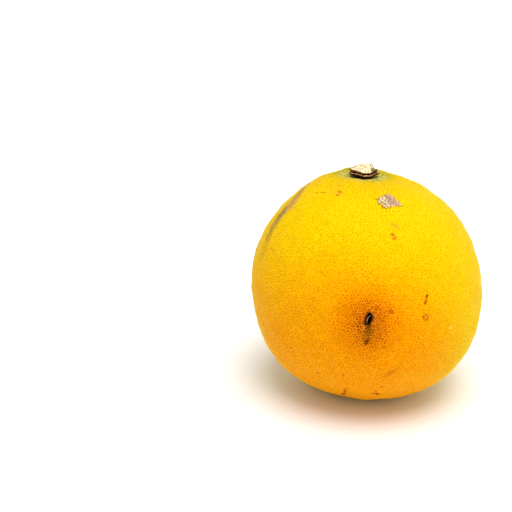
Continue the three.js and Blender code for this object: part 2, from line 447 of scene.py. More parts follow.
rind_values = {"gland": gland, **wound_parts, **crust_parts}
rind = make_piece("bergamot_rind", rind_points, fans, "fruit", rind_values)

# %% [markdown]
# ## The calyx
#
# Under the stem sits the calyx: five blunt lobes that were green at flowering and have dried to a brown
# disc, whose edge curls off the rind and leaves a dark gap. It is a surface that runs from its middle out
# along the underside and back over the top, so two parameters describe it: the angle, and how far along
# that way a point is.

# %% Calyx shape
CALYX_RADIUS, CALYX_LOBE, CALYX_LOBES = 3.75, 0.85, 5
CALYX_CURL, CALYX_MIDDLE, CALYX_RIM = 0.8, 1.0, 0.55
CALYX_FRAY = ((0.05, 19, 1), (0.04, 31, 2), (0.03, 53, 0))  # size, waves round and shift
CALYX_WRINKLES = ((0.05, 1.3), (0.03, 0.5))  # height and wavelength
CALYX_RAYS, CALYX_HALF = 288, 34
SEAT_GAP = 0.3


def waves_round(angle, waves):
    """A sum of sines of an angle, each times its size, with its number of waves round and its shift."""
    return sum(size * np.sin(count * angle + shift) for size, count, shift in waves)


def rind_height(x, y):
    """The skin's height over the core beside the stem's axis: the other leg of a triangle whose long side
    is the skin's radius. The radius depends on the height, so a few rounds settle both."""
    height = np.full(np.shape(x), MEAN_RADIUS)
    for _ in range(4):
        toward = unit(np.stack([x, y, height], -1)) @ STEM_TURN.T
        height = np.sqrt(skin_radius(toward) ** 2 - x**2 - y**2)
    return height


def calyx_radius(angle):
    """A circle plus blunt lobes, which are a cosine's size to the power 0.8, none quite like the next."""
    lobe = np.abs(np.cos(CALYX_LOBES * angle / 2)) ** 0.8
    uneven = 1 + 0.25 * np.sin(2 * angle + 0.6)
    return CALYX_RADIUS + CALYX_LOBE * lobe * uneven + 0.12 * np.sin(7 * angle + 2)


def calyx_surface(share, angle, top):
    """A point at a share of the way out. Its height is the rind's, plus a gap, plus a curl that grows with
    the cube of the share, plus the thickness where top is 1."""
    reach = share * calyx_radius(angle)
    x, y = reach * np.cos(angle), reach * np.sin(angle)
    curl = CALYX_CURL * share**3 * (0.75 + 0.25 * np.cos(3 * angle + 1))
    thickness = CALYX_MIDDLE + (CALYX_RIM - CALYX_MIDDLE) * share**2
    return np.stack([x, y, rind_height(x, y) + SEAT_GAP + curl + thickness * top], -1)


print("the calyx is", calyx_radius(np.linspace(0, 6, 7)).round(1), "mm from its middle to its rim")

# %% [markdown]
# ## A closed surface from rings
#
# The calyx and the stub are both rings round an axis, one above or inside the next. Where the first and the
# last ring are drawn together in one point each, nothing stays open.

# %% Rings into a closed mesh


def round_faces(rings, rays):
    """Triangles of a closed body whose rings run round an axis. The first and last rings are points."""
    ring, ray = np.meshgrid(np.arange(rings - 2), np.arange(rays), indexing="ij")
    here = 1 + ring * rays + ray
    side = 1 + ring * rays + (ray + 1) % rays
    lower, upper = here[:-1].ravel(), here[1:].ravel()
    lower_side, upper_side = side[:-1].ravel(), side[1:].ravel()
    last = 1 + (rings - 2) * rays
    return np.concatenate([
        np.stack([lower, lower_side, upper_side], -1),
        np.stack([lower, upper_side, upper], -1),
        np.stack([np.zeros(rays, int), side[0], here[0]], -1),
        np.stack([here[-1], side[-1], np.full(rays, last)], -1),
    ])


def close_rings(grid):
    """Grid points as a list, with the first and last ring drawn together in one point each."""
    between = grid[1:-1].reshape(-1, grid.shape[-1])
    return np.concatenate([grid[:1].mean(axis=1), between, grid[-1:].mean(axis=1)])


print("a closed body of 4 rings and 6 rays has", len(round_faces(4, 6)), "triangles")

# %% [markdown]
# The calyx's own rings run from the middle of its underside to its rim, and back over the top. They are
# closest near the rim, where the surface turns, because the sine of an even step slows down there.

# %% Calyx mesh
out_share = np.sin(np.linspace(0, math.pi / 2, CALYX_HALF))
share = np.concatenate([out_share, out_share[::-1]])
top = np.concatenate([np.zeros(CALYX_HALF), np.ones(CALYX_HALF)])
calyx_angle, calyx_share = np.meshgrid(np.linspace(0, 2 * math.pi, CALYX_RAYS, endpoint=False), share)
calyx_top = np.broadcast_to(top[:, None], calyx_share.shape)
fray = waves_round(calyx_angle, CALYX_FRAY)
calyx_grid = calyx_surface(calyx_share * (1 + 0.4 * fray * calyx_share**6), calyx_angle, calyx_top)
flat_points = calyx_grid.reshape(-1, 3)
wrinkle = sum(height * ripples(flat_points, wave) for height, wave in CALYX_WRINKLES)
calyx_grid[..., 2] += wrinkle.reshape(calyx_share.shape) * calyx_share * (0.4 + 0.6 * calyx_top)
calyx_values = close_rings(np.stack([calyx_share, calyx_top], -1))
calyx = make_piece(
    "calyx_disc",
    CORE + close_rings(calyx_grid) @ STEM_TURN.T,
    round_faces(len(share), CALYX_RAYS),
    "calyx",
    {"share": calyx_values[:, 0], "top": calyx_values[:, 1]},
)

# %% [markdown]
# ## The stem stub
#
# Shears left a short peg of pale wood. Its foot has spread over the calyx like a ragged button, and the
# cut end is torn into fibres. A lathe would make it too even, so a few ring curves are set from the foot's
# underside to the torn end, and a smooth curve runs through them at each angle.

# %% Stem stub shape
FOOT_RADIUS, FOOT_THICKNESS = 4.2, 0.62
PEG_RADIUS, PEG_HEIGHT, PEG_OFFSET = 1.9, 1.75, 0.75
FOOT_WAVES = ((0.07, 3, 3.6), (0.035, 5, 2.2), (0.02, 11, 0), (0.008, 23, 1), (0.006, 37, 0))
PEG_WAVES = ((0.06, 2, 1), (0.05, 5, 0))
TORN_WAVES = ((0.22, 3, 0.8), (0.16, 7, 0), (0.1, 11, 1))
FIBRE_WAVE, SPLINTER_WAVE = 0.55, 0.7
FIBRE_HEIGHT, SPLINTER_HEIGHT = 0.04, 0.15
STUB_RAYS, STUB_STEPS = 300, 6


def foot_radius(angle):
    """A circle with a few waves of different length, for a ragged outline."""
    return FOOT_RADIUS * (1 + waves_round(angle, FOOT_WAVES))


def foot_ring(share, lift, angle):
    """A ring at a share of the foot's radius, lifted off the calyx's top."""
    reach = share * foot_radius(angle)
    seat = calyx_surface(reach / calyx_radius(angle), angle, 1.0)
    return seat + np.array([0, 0, SEAT_GAP + lift])


def peg_ring(radius, height, offset, roughness, angle):
    """A ring of the peg, nearly round, its height torn by three waves."""
    reach = radius * (1 + waves_round(angle, PEG_WAVES))
    crest = foot_ring(0, FOOT_THICKNESS, np.zeros(1))[0, 2]
    z = crest + height + roughness * waves_round(angle, TORN_WAVES)
    return np.stack([offset + reach * np.cos(angle), reach * np.sin(angle), z], -1)


print("the foot is", foot_radius(np.linspace(0, 6, 7)).round(1), "mm from its middle to its edge")

# %% [markdown]
# A curve that passes through every ring keeps the shape easy to change: move one ring, and the surface
# follows.

# %% A smooth curve through rings


def smooth_between(rings, steps):
    """Points on a curve through the rings. Between two rings it is a cubic whose slopes are half the
    distance between the rings on either side."""
    before = np.concatenate([rings[:1], rings[:-1]])[:-1]
    start, end = rings[:-1], rings[1:]
    after = np.concatenate([rings[1:], rings[-1:]])[1:]
    t = np.arange(steps)[None, :, None, None] / steps
    start_slope, end_slope = (end - before)[:, None] / 2, (after - start)[:, None] / 2
    start, end = start[:, None], end[:, None]
    curve = (
        (2 * t**3 - 3 * t**2 + 1) * start
        + (t**3 - 2 * t**2 + t) * start_slope
        + (3 * t**2 - 2 * t**3) * end
        + (t**3 - t**2) * end_slope
    )
    return np.concatenate([curve.reshape(-1, *rings.shape[1:]), rings[-1:]])


print("two rings become", len(smooth_between(np.zeros((2, 1, 3)), STUB_STEPS)))

# %% [markdown]
# The rings run from the middle of the foot's underside, round its edge and up the peg, to the middle of the
# torn end. Fibres roughen all of it but the seat, and splinters stand up where the wood tore.

# %% Stem stub mesh
stub_angle = np.linspace(0, 2 * math.pi, STUB_RAYS, endpoint=False)
stub_rings = np.stack([
    foot_ring(0, 0, stub_angle),
    foot_ring(0.5, 0, stub_angle),
    foot_ring(0.85, 0.1, stub_angle),
    foot_ring(1, 0.4, stub_angle),
    foot_ring(0.99, FOOT_THICKNESS + 0.15, stub_angle),
    foot_ring(0.86, FOOT_THICKNESS + 0.12, stub_angle),
    peg_ring(PEG_RADIUS + 1.2, 0.25, 0.3 * PEG_OFFSET, 0, stub_angle),
    peg_ring(PEG_RADIUS + 0.5, 0.55 * PEG_HEIGHT, 0.7 * PEG_OFFSET, 0, stub_angle),
    peg_ring(PEG_RADIUS, 0.88 * PEG_HEIGHT, PEG_OFFSET, 0.7, stub_angle),
    peg_ring(PEG_RADIUS - 0.4, PEG_HEIGHT, PEG_OFFSET, 1, stub_angle),
    peg_ring(0.45 * PEG_RADIUS, 0.92 * PEG_HEIGHT, PEG_OFFSET, -0.8, stub_angle),
    peg_ring(0, 0.85 * PEG_HEIGHT, PEG_OFFSET, 0, stub_angle),
])
stub_grid = smooth_between(stub_rings, STUB_STEPS)
along_stub = np.linspace(0, 1, len(stub_grid))
torn_share = np.clip((along_stub - 0.62) / 0.2, 0, 1)
flat_points = stub_grid.reshape(-1, 3)
fibres = ripples(flat_points * np.array([1, 1, 0.2]), FIBRE_WAVE).reshape(stub_grid.shape[:2])
splinters = ripples(flat_points, SPLINTER_WAVE).reshape(stub_grid.shape[:2])
outer_share = np.clip(along_stub / 0.3, 0, 1)
stub_grid[..., 2] += SPLINTER_HEIGHT * splinters * torn_share[:, None]
stub_grid[..., 2] += FIBRE_HEIGHT * fibres * outer_share[:, None]
stub_points = close_rings(stub_grid)
way = close_rings(np.broadcast_to(along_stub[:, None, None], (*stub_grid.shape[:2], 1)))[:, 0]
stub = make_piece(
    "stem_foot",
    CORE + stub_points @ STEM_TURN.T,
    round_faces(len(stub_grid), STUB_RAYS),
    "stem_stub",
    {"way": way},
)

# %% [markdown]
# ## Small tools for materials
#
# A material is a graph of nodes. These helpers add one node each and take either a number or another
# node's output, so that a recipe reads like a formula.

# %% Node helpers


def add_node(tree, kind, inputs, **settings):
    """Adds a node, sets its settings, and sets or links each input."""
    made = tree.nodes.new(kind)
    for key, value in settings.items():
        setattr(made, key, value)
    for key, value in inputs.items():
        if isinstance(value, bpy.types.NodeSocket):
            tree.links.new(value, made.inputs[key])
        else:
            made.inputs[key].default_value = value
    return made


def maths(tree, operation, *values):
    """One arithmetic step, kept between 0 and 1 where the operation's name ends in a star."""
    inputs = dict(enumerate(values))
    settings = {"operation": operation.strip("*"), "use_clamp": operation.endswith("*")}
    return add_node(tree, "ShaderNodeMath", inputs, **settings).outputs[0]


def ramp(tree, value, start, end, low=0.0, high=1.0):
    """Eases from low to high while value goes from start to end."""
    inputs = {0: value, 1: start, 2: end, 3: low, 4: high}
    return add_node(tree, "ShaderNodeMapRange", inputs, interpolation_type="SMOOTHSTEP").outputs[0]


def mix(tree, share, first, second, mode="MIX"):
    """One colour over another."""
    inputs = {0: share, 6: first, 7: second}
    return add_node(tree, "ShaderNodeMix", inputs, data_type="RGBA", blend_type=mode).outputs[2]


def lay(tree, base, mask, paint, strength=1.0, mode="MIX"):
    """One more colour over the base, where the mask is."""
    return mix(tree, maths(tree, "MULTIPLY", mask, strength), base, paint, mode)


def attribute(tree, name):
    """A value that is kept on the mesh's points."""
    return add_node(tree, "ShaderNodeAttribute", {}, attribute_name=name).outputs["Fac"]


def noise(tree, position, size, detail=2.0, stretch=None):
    """Soft random values round 0.5, whose lumps have about this size in millimetres."""
    if stretch:
        scaled = add_node(tree, "ShaderNodeVectorMath", {0: position, 1: stretch}, operation="MULTIPLY")
        position = scaled.outputs[0]
    inputs = {"Vector": position, "Scale": 1 / (size * MM), "Detail": detail}
    return add_node(tree, "ShaderNodeTexNoise", inputs).outputs["Fac"]


def shade(red, green, blue):
    """A colour as it is named on a screen, from 0 to 255, turned into an amount of light."""
    screen = np.array([red, green, blue]) / 255
    light = np.where(screen < 0.04045, screen / 12.92, ((screen + 0.055) / 1.055) ** 2.4)
    return (*light.tolist(), 1.0)


def new_material(name):
    """A material with one surface and its output node."""
    material = bpy.data.materials.new(name)
    material.use_nodes = True
    tree = material.node_tree
    tree.nodes.clear()
    surface = tree.nodes.new("ShaderNodeBsdfPrincipled")
    out = tree.nodes.new("ShaderNodeOutputMaterial")
    tree.links.new(surface.outputs[0], out.inputs["Surface"])
    return material, tree, surface


def add_bump(tree, surface, height, strength, distance):
    """Small relief from a height, over a distance in millimetres."""
    inputs = {"Strength": strength, "Distance": distance * MM, "Height": height}
    bump = add_node(tree, "ShaderNodeBump", inputs)
    tree.links.new(bump.outputs["Normal"], surface.inputs["Normal"])


def use_group(tree, group, inputs):
    """Adds a shared group to a material, and sets or links its inputs by name."""
    return add_node(tree, "ShaderNodeGroup", inputs, node_tree=group).outputs


def new_group(name, vectors, numbers, outputs):
    """An empty node group with named vector and number inputs, and number outputs. Returns the group, what
    it is given, and the sockets that take its results."""
    group = bpy.data.node_groups.new(name, "ShaderNodeTree")
    sockets = [(each, "NodeSocketVector", "INPUT") for each in vectors]
    sockets += [(each, "NodeSocketFloat", "INPUT") for each in numbers]
    sockets += [(each, "NodeSocketFloat", "OUTPUT") for each in outputs]
    for each, kind, way in sockets:
        group.interface.new_socket(each, socket_type=kind, in_out=way)
    given = group.nodes.new("NodeGroupInput").outputs
    return group, given, group.nodes.new("NodeGroupOutput").inputs


print("middle grey on a screen is", round(shade(128, 128, 128)[0], 2), "of the light")

# %% [markdown]
# ## A group for marks on the skin
#
# Every spot, scratch and stain is an ellipse with a ragged edge. The group moves the position to the
# mark's centre, turns and scales it there, and measures how far out it is: 0 in the middle and 1 on the
# edge. It gives an even spot, and one that is paler inside, as a bite is that healed from the middle. A
# thickness through the skin keeps a mark off the far side of the fruit. Painting an image would do as well,
# but these stay sharp however near one looks.

# %% Skin mark group


def skin_mark_group():
    """Inputs place an ellipse. Mask is 1 inside it, and Ring is less in the middle."""
    vectors = ("Position", "Centre", "Turn", "Half Sizes")
    group, given, result = new_group("skin mark", vectors, ("Wobble", "Ragged", "Edge"), ("Mask", "Ring"))
    place = {index: given[name] for index, name in enumerate(vectors)}
    placed = add_node(group, "ShaderNodeMapping", place, vector_type="TEXTURE").outputs[0]
    length = add_node(group, "ShaderNodeVectorMath", {0: placed}, operation="LENGTH").outputs["Value"]
    wobble = maths(group, "MULTIPLY", maths(group, "SUBTRACT", given["Wobble"], 0.5), given["Ragged"])
    reach = maths(group, "ADD", length, wobble)
    inner = maths(group, "SUBTRACT", 1.0, given["Edge"])
    outer = maths(group, "ADD", 1.0, given["Edge"])
    mask = maths(group, "SUBTRACT", 1.0, ramp(group, reach, inner, outer))
    ring = maths(group, "MULTIPLY", mask, ramp(group, reach, 0.1, 0.7, 0.4, 1.0))
    group.links.new(mask, result["Mask"])
    group.links.new(ring, result["Ring"])
    return group


def mark_on_skin(tree, position, wobble, place, half_length, half_width, turn=0, ragged=0.6, edge=0.3):
    """A skin mark at a longitude and latitude, sized in millimetres, turned clockwise in degrees."""
    toward = heading(*place)
    half_sizes = np.array([half_length, half_width, max(half_length, half_width, 2)]) * MM
    inputs = {
        "Position": position,
        "Centre": ((CORE + toward * skin_radius(toward[None])) * MM).tolist(),
        "Turn": Matrix(np.stack(tangent_frame(toward, turn), -1).tolist()).to_euler(),
        "Half Sizes": half_sizes.tolist(),
        "Wobble": wobble,
        "Ragged": ragged,
        "Edge": edge,
    }
    return use_group(tree, SKIN_MARK, inputs)


SKIN_MARK = skin_mark_group()
print("skin mark has", len(SKIN_MARK.nodes), "nodes")

# %% [markdown]
# ## A group for sparse specks
#
# Old rind has pinprick specks, and raw wood has small dark pores. Both are far apart and without order. A
# random cell pattern gives each its centre, and the cell's own random number says whether it has one.

# %% Sparse speck group


def speck_group():
    """Mask is 1 near the centre of a cell, where the cell's random number is below the share."""
    numbers = ("Spacing", "Size", "Share")
    group, given, result = new_group("sparse specks", ("Position",), numbers, ("Mask",))
    scale = maths(group, "DIVIDE", 1.0, given["Spacing"])
    cells = add_node(group, "ShaderNodeTexVoronoi", {"Vector": given["Position"], "Scale": scale})
    near = maths(group, "SUBTRACT", 1.0, ramp(group, cells.outputs["Distance"], 0.0, given["Size"]))
    luck = add_node(group, "ShaderNodeSeparateColor", {0: cells.outputs["Color"]}).outputs[0]
    chosen = maths(group, "LESS_THAN", luck, given["Share"])
    group.links.new(maths(group, "MULTIPLY", near, chosen), result["Mask"])
    return group


SPARSE_SPECKS = speck_group()
print("sparse specks has", len(SPARSE_SPECKS.nodes), "nodes")

# %% [markdown]
# ## A group for dry fibre
#
# The calyx and the stub are dead plant matter: fibres along the stem, soft stains, and a surface that is
# rough to the touch. Noise that is stretched along the stem gives the fibres.

# %% Dry fibre group
ALONG_STEM = (1, 1, 0.25)


def fibre_group():
    """Light varies along stretched fibres, Stain in soft patches, and Height is for a bump."""
    outputs = ("Light", "Stain", "Height")
    group, given, result = new_group("dry fibre", ("Position",), ("Fineness",), outputs)
    scaling = {0: given["Position"], "Scale": given["Fineness"]}
    where = add_node(group, "ShaderNodeVectorMath", scaling, operation="SCALE").outputs[0]
    light = noise(group, where, 0.45, 3.0, ALONG_STEM)
    roughened = maths(group, "MULTIPLY", noise(group, where, 0.2, 2.0), 0.5)
    group.links.new(light, result["Light"])
    group.links.new(noise(group, where, 1.6, 3.0), result["Stain"])
    group.links.new(maths(group, "ADD", light, roughened), result["Height"])
    return group


DRY_FIBRE = fibre_group()
print("groups:", [group.name for group in bpy.data.node_groups])

# %% [markdown]
# ## The rind's colour and finish
#
# Ripe rind is a clear yellow that turns orange where the sun reached it, and stays greenish round the stem
# and on the shaded side. Each gland shows as a darker dot, olive on the yellow and red-brown on the orange,
# because the oil under it lets the light in, and the ridge between two glands is paler, partly as a painted
# highlight on the ridges. Near the wound the dots are brown, and the skin between them is stained. The
# large areas come first, because every mark is laid over them.

# %% Large areas of colour
LEMON = shade(243, 200, 3)
AMBER = shade(246, 164, 3)
LEAF_GREEN = shade(138, 162, 46)
RIDGE_YELLOW_HIGHLIGHT = shade(252, 222, 40)
SUNNED_WAY = (-0.1, -0.88, -0.44)
SHADED_WAY = (-0.1, 0.95, 0.1)
CHEEKS = [  # place, half length and width, and how much riper
    ((-64, 0), 17, 12, 0.45),
    ((40, 12), 15, 15, 0.14),
    ((66, -26), 11, 11, -0.3),
]


def facing(tree, outward, way):
    """How far the skin faces one way: the cosine of the angle between."""
    inputs = {0: outward, 1: unit(way).tolist()}
    return add_node(tree, "ShaderNodeVectorMath", inputs, operation="DOT_PRODUCT").outputs["Value"]


def outward_way(tree, position):
    """The direction from the core to a point."""
    from_core = {0: position, 1: (CORE * MM).tolist()}
    centred = add_node(tree, "ShaderNodeVectorMath", from_core, operation="SUBTRACT").outputs[0]
    return add_node(tree, "ShaderNodeVectorMath", {0: centred}, operation="NORMALIZE").outputs[0]


def ripeness(tree, position, outward, patches, mottle):
    """How far the sunned side faces, made uneven by noise of three sizes, and then more or less on the
    cheeks."""
    sunned = facing(tree, outward, SUNNED_WAY)
    for unevenness, strength in ((noise(tree, position, 30, 2.0), 0.4), (patches, 0.16), (mottle, 0.3)):
        sunned = maths(tree, "ADD", sunned, maths(tree, "MULTIPLY", unevenness, strength))
    ripe = ramp(tree, sunned, 0.69, 1.45)
    for place, half_length, half_width, riper in CHEEKS:
        cheek = mark_on_skin(tree, position, patches, place, half_length, half_width, 0, 0.3, 0.9)["Mask"]
        ripe = maths(tree, "ADD*", ripe, maths(tree, "MULTIPLY", cheek, riper))
    return ripe


def ground_colours(tree, outward, ripe, ridge, patches):
    """Yellow or orange with paler ridges, partly a painted highlight, yellow again underneath, and green
    patches on the shaded side.
    """
    # The paler yellow on the ridges is partly a painted highlight.
    colour = lay(tree, mix(tree, ripe, LEMON, AMBER), ridge, RIDGE_YELLOW_HIGHLIGHT, 0.36)
    underneath = ramp(tree, facing(tree, outward, (0, 0, -1)), 0.72, 0.95)
    colour = lay(tree, colour, underneath, LEMON, 0.8)
    shaded = maths(tree, "ADD", facing(tree, outward, SHADED_WAY), maths(tree, "MULTIPLY", patches, 1.2))
    return lay(tree, colour, ramp(tree, shaded, 1.15, 1.95), LEAF_GREEN, 0.5)


print("lemon and amber as light:", np.round([LEMON, AMBER], 2).tolist())

# %% [markdown]
# ## The stem end
#
# The last green of a ripening fruit stays round the stem. It leans a little to the back, where the shade
# was. Close to the calyx the skin has died in cream and brown flecks, as it does where dew stood.

# %% Stem end colours
GREEN_SHIFT = np.array([-0.005, 0.08, 0])
GREEN_FROM, GREEN_TO = 7.0, 14.8
DULL_FROM, DULL_TO, DULLED = 8, 21, (0.88, 0.88, 0.6, 1)
FLECKS_FROM, FLECKS_TO = 6.2, 9.0


def way_from(tree, outward, toward):
    """Millimetres over the skin from a place: the arc cosine, times the radius."""
    angle = maths(tree, "ARCCOSINE", facing(tree, outward, toward))
    return maths(tree, "MULTIPLY", angle, MEAN_RADIUS)


def stem_end_colours(tree, colour, outward, wobble, fine, patches):
    """Green that fades with the way from the stem, under cream and brown flecks of dead skin, and painted
    shade by the calyx.
    """
    from_stem = way_from(tree, outward, STEM)
    green_edge = maths(tree, "MULTIPLY", patches, 5.0)
    green_edge = maths(tree, "ADD", way_from(tree, outward, STEM + GREEN_SHIFT), green_edge)
    colour = lay(tree, colour, ramp(tree, green_edge, GREEN_TO, GREEN_FROM), LEAF_GREEN, 0.74)
    colour = lay(tree, colour, ramp(tree, from_stem, DULL_TO, DULL_FROM), DULLED, 1.0, "MULTIPLY")
    close = ramp(tree, from_stem, FLECKS_TO, FLECKS_FROM)
    cream = maths(tree, "MULTIPLY", ramp(tree, wobble, 0.47, 0.54), ramp(tree, fine, 0.4, 0.5))
    colour = lay(tree, colour, maths(tree, "MULTIPLY", close, cream), shade(230, 214, 150), 0.8)
    brown = maths(tree, "MULTIPLY", close, ramp(tree, fine, 0.4, 0.32))
    colour = lay(tree, colour, brown, shade(110, 76, 34), 0.7)
    # Dark brown right by the stem, under the calyx's edge: painted shade.
    return lay(tree, colour, ramp(tree, from_stem, 3.4, 2.2), shade(60, 38, 14), 0.8)


print("the green fades out about", GREEN_TO, "mm from the stem")

# %% [markdown]
# ## Marks
#
# Wind, thorns and insects leave marks that the skin heals over. Each is a row in a list: where it is, how
# large, and its colour. A list is easier to read, and to change, than as many lines of code. The long
# rubbed streak on the left shoulder is a chain of overlapping marks of its own.

# %% Lists of marks
MARKS = [  # what it is, place, half length and width, turn, ragged, which output, colour, strength
    ("fleck beside the wound", (11.7, 10.3), 0.72, 0.66, 40, 0.9, "Ring", shade(140, 38, 0), 1.0),
    ("scratch", (29.7, 14.4), 1.35, 0.52, 14, 1.3, "Mask", shade(204, 112, 18), 0.85),
    ("head of the scratch", (30.4, 15.9), 0.55, 0.5, 20, 0.8, "Mask", shade(112, 34, 0), 0.95),
    ("foot of the scratch", (29.0, 12.9), 0.6, 0.5, 30, 1.0, "Mask", shade(178, 74, 2), 0.9),
    ("healed bite", (28.9, 5.8), 1.1, 1.0, 0, 1.7, "Mask", shade(190, 100, 8), 0.8),
    ("new skin in the bite", (29.0, 5.7), 0.45, 0.4, 0, 0.8, "Mask", shade(232, 152, 56), 0.8),
    ("dark edge of the bite", (27.7, 6.2), 0.42, 0.34, 0, 0.9, "Mask", shade(138, 58, 0), 0.9),
    ("low edge of the bite", (29.6, 4.6), 0.5, 0.26, 70, 0.9, "Mask", shade(164, 76, 0), 0.8),
    ("old bite near the stem", (-38.9, 66.3), 1.0, 0.8, 0, 1.3, "Mask", shade(238, 164, 58), 0.85),
    ("its upper edge", (-41.0, 67.3), 0.85, 0.36, 80, 0.9, "Mask", shade(176, 108, 10), 0.85),
    ("its lower edge", (-38.9, 65.0), 0.5, 0.36, 30, 0.9, "Mask", shade(164, 92, 8), 0.85),
    ("long dash", (-57.0, 63.2), 1.15, 0.26, 58, 0.8, "Mask", shade(160, 112, 8), 0.8),
    ("short dash", (-63.0, 61.1), 0.85, 0.26, 52, 0.9, "Mask", shade(186, 128, 30), 0.75),
    ("faint pink patch", (19.6, 51.6), 1.3, 0.6, 128, 1.7, "Mask", shade(222, 148, 60), 0.7),
    ("faint brown patch", (16.2, 46.8), 0.75, 0.55, 130, 1.3, "Mask", shade(178, 98, 30), 0.85),
    ("brown patch below it", (17.0, 44.9), 0.7, 0.62, 60, 1.3, "Mask", shade(190, 108, 36), 0.85),
    ("streak above the crust", (20.5, 70.3), 1.2, 0.4, 62, 1.2, "Mask", shade(204, 126, 40), 0.6),
    ("smudge below the crust", (13.9, 62.2), 0.95, 0.42, 84, 1.0, "Mask", shade(196, 112, 28), 0.7),
    ("stalk of the hook", (-11.8, -43.5), 2.1, 0.42, 10, 1.2, "Mask", shade(158, 76, 4), 0.85),
    ("foot of the hook", (-14.2, -48.8), 1.5, 0.7, 20, 0.9, "Mask", shade(122, 50, 0), 0.9),
    ("arm of the hook", (-9.8, -38.8), 0.6, 0.4, 70, 1.0, "Mask", shade(178, 90, 4), 0.75),
    ("left leg of the fork", (7.2, -42.0), 1.0, 0.55, 80, 1.0, "Mask", shade(150, 66, 0), 0.85),
    ("tip of the fork", (7.8, -39.3), 0.8, 0.3, -20, 1.0, "Mask", shade(166, 82, 4), 0.75),
    ("right leg of the fork", (9.9, -43.4), 1.1, 0.5, -20, 0.9, "Mask", shade(140, 60, 0), 0.9),
    ("bit beside the fork", (10.7, -33.8), 0.6, 0.45, 0, 1.0, "Mask", shade(186, 100, 2), 0.75),
    ("smear", (13.4, -22.6), 2.9, 0.8, 42, 1.7, "Mask", shade(200, 108, 0), 0.6),
    ("pale dot", (43.9, -2.9), 0.5, 0.4, 0, 0.6, "Mask", shade(255, 232, 150), 0.7),
    ("dot on the right", (79.1, 29.6), 0.5, 0.4, 0, 0.6, "Mask", shade(120, 84, 10), 0.7),
    ("dot on the left", (-39.9, -17.5), 0.35, 0.32, 0, 0.6, "Mask", shade(150, 66, 0), 0.75),
    ("low left dash", (-25.7, -29.5), 0.65, 0.36, 70, 0.9, "Mask", shade(168, 78, 0), 0.75),
    ("low dot", (-10.5, -26.3), 0.55, 0.4, 20, 0.9, "Mask", shade(168, 78, 0), 0.8),
    ("spot below the wound", (9.1, -7.1), 0.7, 0.5, 40, 1.0, "Mask", shade(180, 92, 0), 0.65),
    ("first dot by the streak", (-64.1, 26.9), 0.4, 0.36, 0, 0.6, "Mask", shade(132, 84, 4), 0.7),
    ("second dot by the streak", (-61.1, 26.6), 0.4, 0.36, 0, 0.6, "Mask", shade(150, 90, 4), 0.7),
    ("scar of the style", (41.6, -84.0), 1.5, 1.4, 0, 0.9, "Ring", shade(96, 52, 16), 0.9),
]
STREAK = [  # places down the left shoulder: place, half length and width, turn, colour, strength
    ((-100.0, 58.0), 0.7, 0.5, -30, shade(96, 64, 20), 0.8),
    ((-92.0, 56.5), 2.8, 1.1, -50, shade(220, 176, 84), 0.6),
    ((-84.5, 53.8), 3.4, 1.7, -46, shade(188, 146, 92), 0.8),
    ((-77.5, 48.3), 3.6, 2.6, -28, shade(206, 160, 100), 0.8),
    ((-78.6, 41.0), 3.0, 1.9, 4, shade(126, 114, 92), 0.75),
    ((-76.2, 36.0), 3.2, 1.9, 10, shade(174, 142, 90), 0.7),
    ((-73.8, 30.6), 3.0, 1.5, 8, shade(172, 142, 48), 0.6),
    ((-71.5, 23.5), 3.8, 1.8, 2, shade(204, 160, 24), 0.4),
]
print(len(MARKS), "marks and", len(STREAK), "lengths of streak")

# %% [markdown]
# No mark on skin is one even colour. Fine noise breaks each up into grains, so that the rind shows through
# it, and a few pinpricks are strewn over all of the fruit.

# %% Colours of the marks
STREAK_SPECKS = shade(92, 76, 62)
PINPRICKS = {"Spacing": 5.5 * MM, "Size": 0.07, "Share": 0.35}


def streak_colours(tree, colour, position, wobble, fine, broken):
    """Each length of the streak, and dark specks in it."""
    specks = ramp(tree, fine, 0.46, 0.38)
    for place, half_length, half_width, turn, paint, strength in STREAK:
        mark = mark_on_skin(tree, position, wobble, place, half_length, half_width, turn, 0.9, 0.5)["Mask"]
        colour = lay(tree, colour, maths(tree, "MULTIPLY", mark, broken), paint, strength)
        colour = lay(tree, colour, maths(tree, "MULTIPLY", mark, specks), STREAK_SPECKS, 0.6 * strength)
    return colour


def mark_colours(tree, colour, position, wobble, broken):
    """Each mark of the list in turn, and pinpricks all over."""
    for _, place, half_length, half_width, turn, ragged, output, paint, strength in MARKS:
        mark = mark_on_skin(tree, position, wobble, place, half_length, half_width, turn, ragged)[output]
        colour = lay(tree, colour, maths(tree, "MULTIPLY", mark, broken), paint, strength)
    specks = use_group(tree, SPARSE_SPECKS, {"Position": position, **PINPRICKS})["Mask"]
    return lay(tree, colour, specks, shade(128, 70, 10), 0.8)


print("pinpricks at", PINPRICKS["Share"], "of the places", round(PINPRICKS["Spacing"] / MM, 1), "mm apart")

# %% [markdown]
# ## Round the wound
#
# A thorn or a beak went in here. The skin round such a hole turns orange and its glands brown, juice has
# dried in an olive trail below it, and a crescent of dead skin is left in the pit. The stain sinks into the
# glands first, so the rows of this list also say through what each colour is laid.

